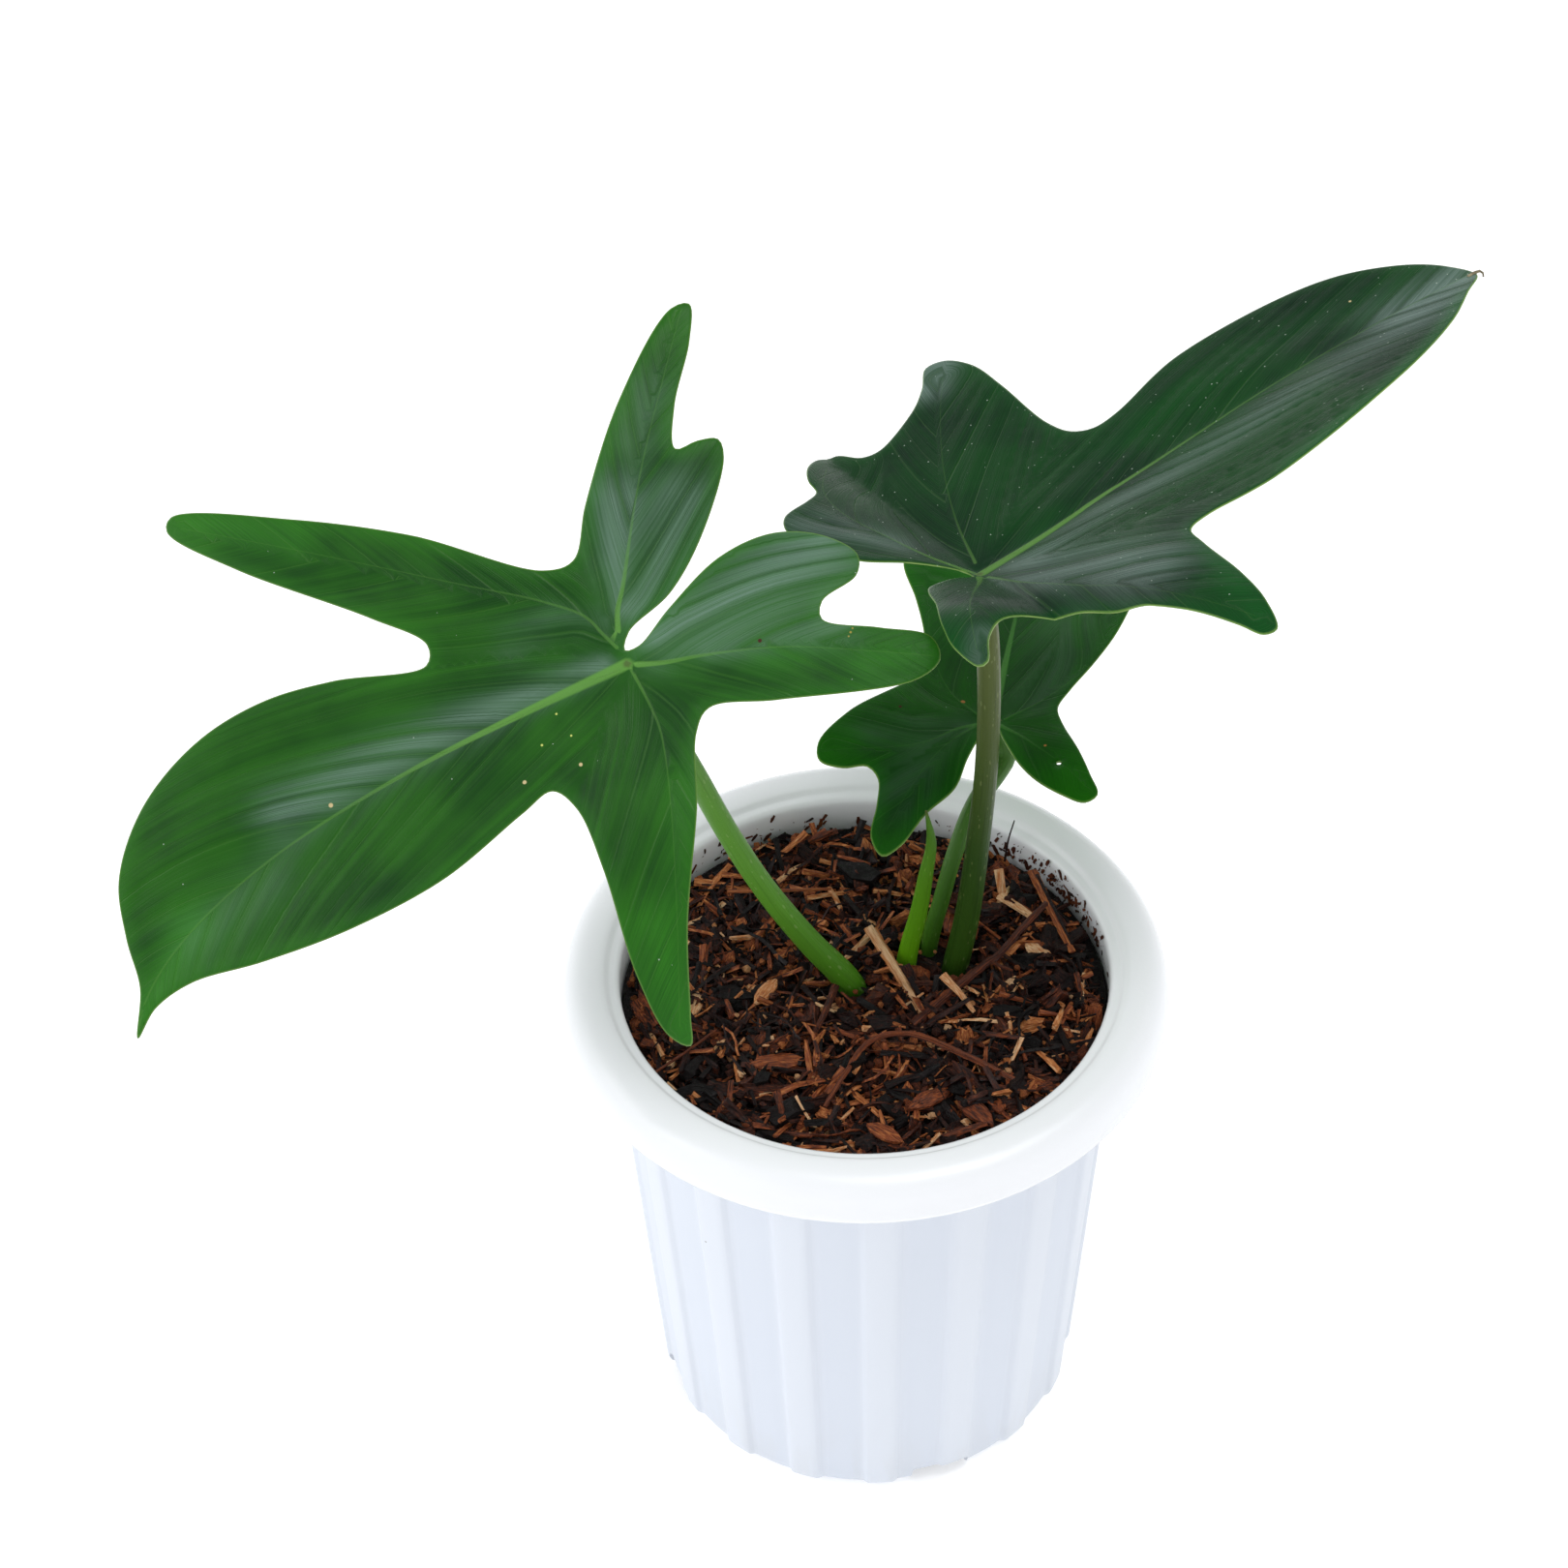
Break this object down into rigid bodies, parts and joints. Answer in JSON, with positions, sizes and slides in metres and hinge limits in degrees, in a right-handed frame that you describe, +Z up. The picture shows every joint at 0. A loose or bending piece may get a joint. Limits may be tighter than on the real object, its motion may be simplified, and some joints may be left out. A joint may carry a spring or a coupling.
{
  "type": "potted philodendron pedatum",
  "caption": "Young philodendron with deeply lobed glossy leaves on upright stalks, growing in bark mix in a fluted white plastic pot with a rolled rim.",
  "frame": {"origin": "middle of the pot's flat underside", "axes": "+Z up through the pot, +X to the right and +Y to the back as the picture shows it, so the picture looks along +Y"},
  "size_m": [0.2763, 0.2012, 0.2616],
  "materials": {
    "pot": "satin white moulded plastic",
    "medium": "damp dark brown bark and husk chips",
    "stem": "pale brown young stem and thick roots",
    "leaf_left": "glossy mid green leaf",
    "leaf_right": "glossy dark green leaf",
    "leaf_back": "glossy dark green leaf",
    "petiole_left": "smooth green leaf stalk",
    "petiole_right": "smooth olive leaf stalk",
    "petiole_back": "smooth green leaf stalk",
    "sheath": "smooth yellow green sheath of the next leaf"
  },
  "bodies": {
    "root": {"pot": "pot", "growing_medium": "medium", "stem_with_roots": "stem", "leaf_left_blade": "leaf_left", "leaf_right_blade": "leaf_right", "leaf_back_blade": "leaf_back", "petiole_left": "petiole_left", "petiole_right": "petiole_right", "petiole_back": "petiole_back", "new_leaf_sheath": "sheath"}
  },
  "joints": []
}
